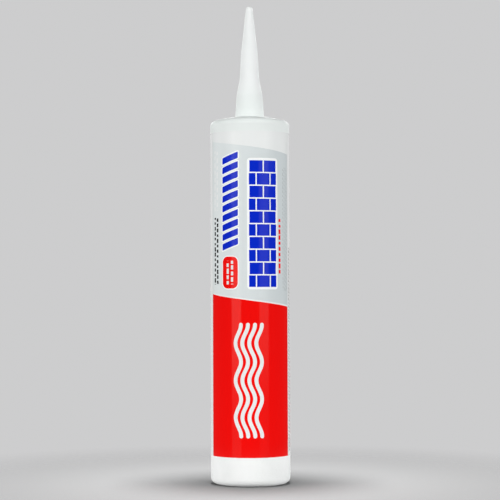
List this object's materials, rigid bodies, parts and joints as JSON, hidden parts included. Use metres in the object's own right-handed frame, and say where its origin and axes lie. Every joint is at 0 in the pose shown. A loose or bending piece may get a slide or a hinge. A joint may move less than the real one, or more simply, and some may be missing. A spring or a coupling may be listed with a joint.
{
  "type": "construction adhesive cartridge",
  "caption": "Round gun cartridge of construction adhesive: tube with a domed head and rolled rear rim, closed tapered nozzle, wrap label, and a ribbed plunger that slides up the bore.",
  "frame": {"origin": "centre of the rear rim, on the plane that the cartridge stands on", "axes": "+Z along the barrel towards the nozzle; the label's front faces -Y and its lapped seam faces +Y"},
  "size_m": [0.0482, 0.0483, 0.2891],
  "materials": {
    "barrel": "satin white polyethylene, faintly translucent",
    "nozzle": "satin white polyethylene",
    "inner_seal": "bright foil",
    "plunger": "waxy natural polyethylene",
    "adhesive": "clear, faintly milky paste",
    "label": "glossy printed film, red below and silver grey above"
  },
  "bodies": {
    "cartridge": {"barrel": "barrel", "label": "label", "nozzle": "nozzle", "inner_seal": "inner_seal", "adhesive": "adhesive"},
    "plunger": {"plunger": "plunger"}
  },
  "joints": [
    {"name": "plunger_slide", "type": "slide", "parent": "cartridge", "child": "plunger", "axis": [0, 0, 1], "range_m": [0, 0.1644], "deforming": ["adhesive"]}
  ]
}
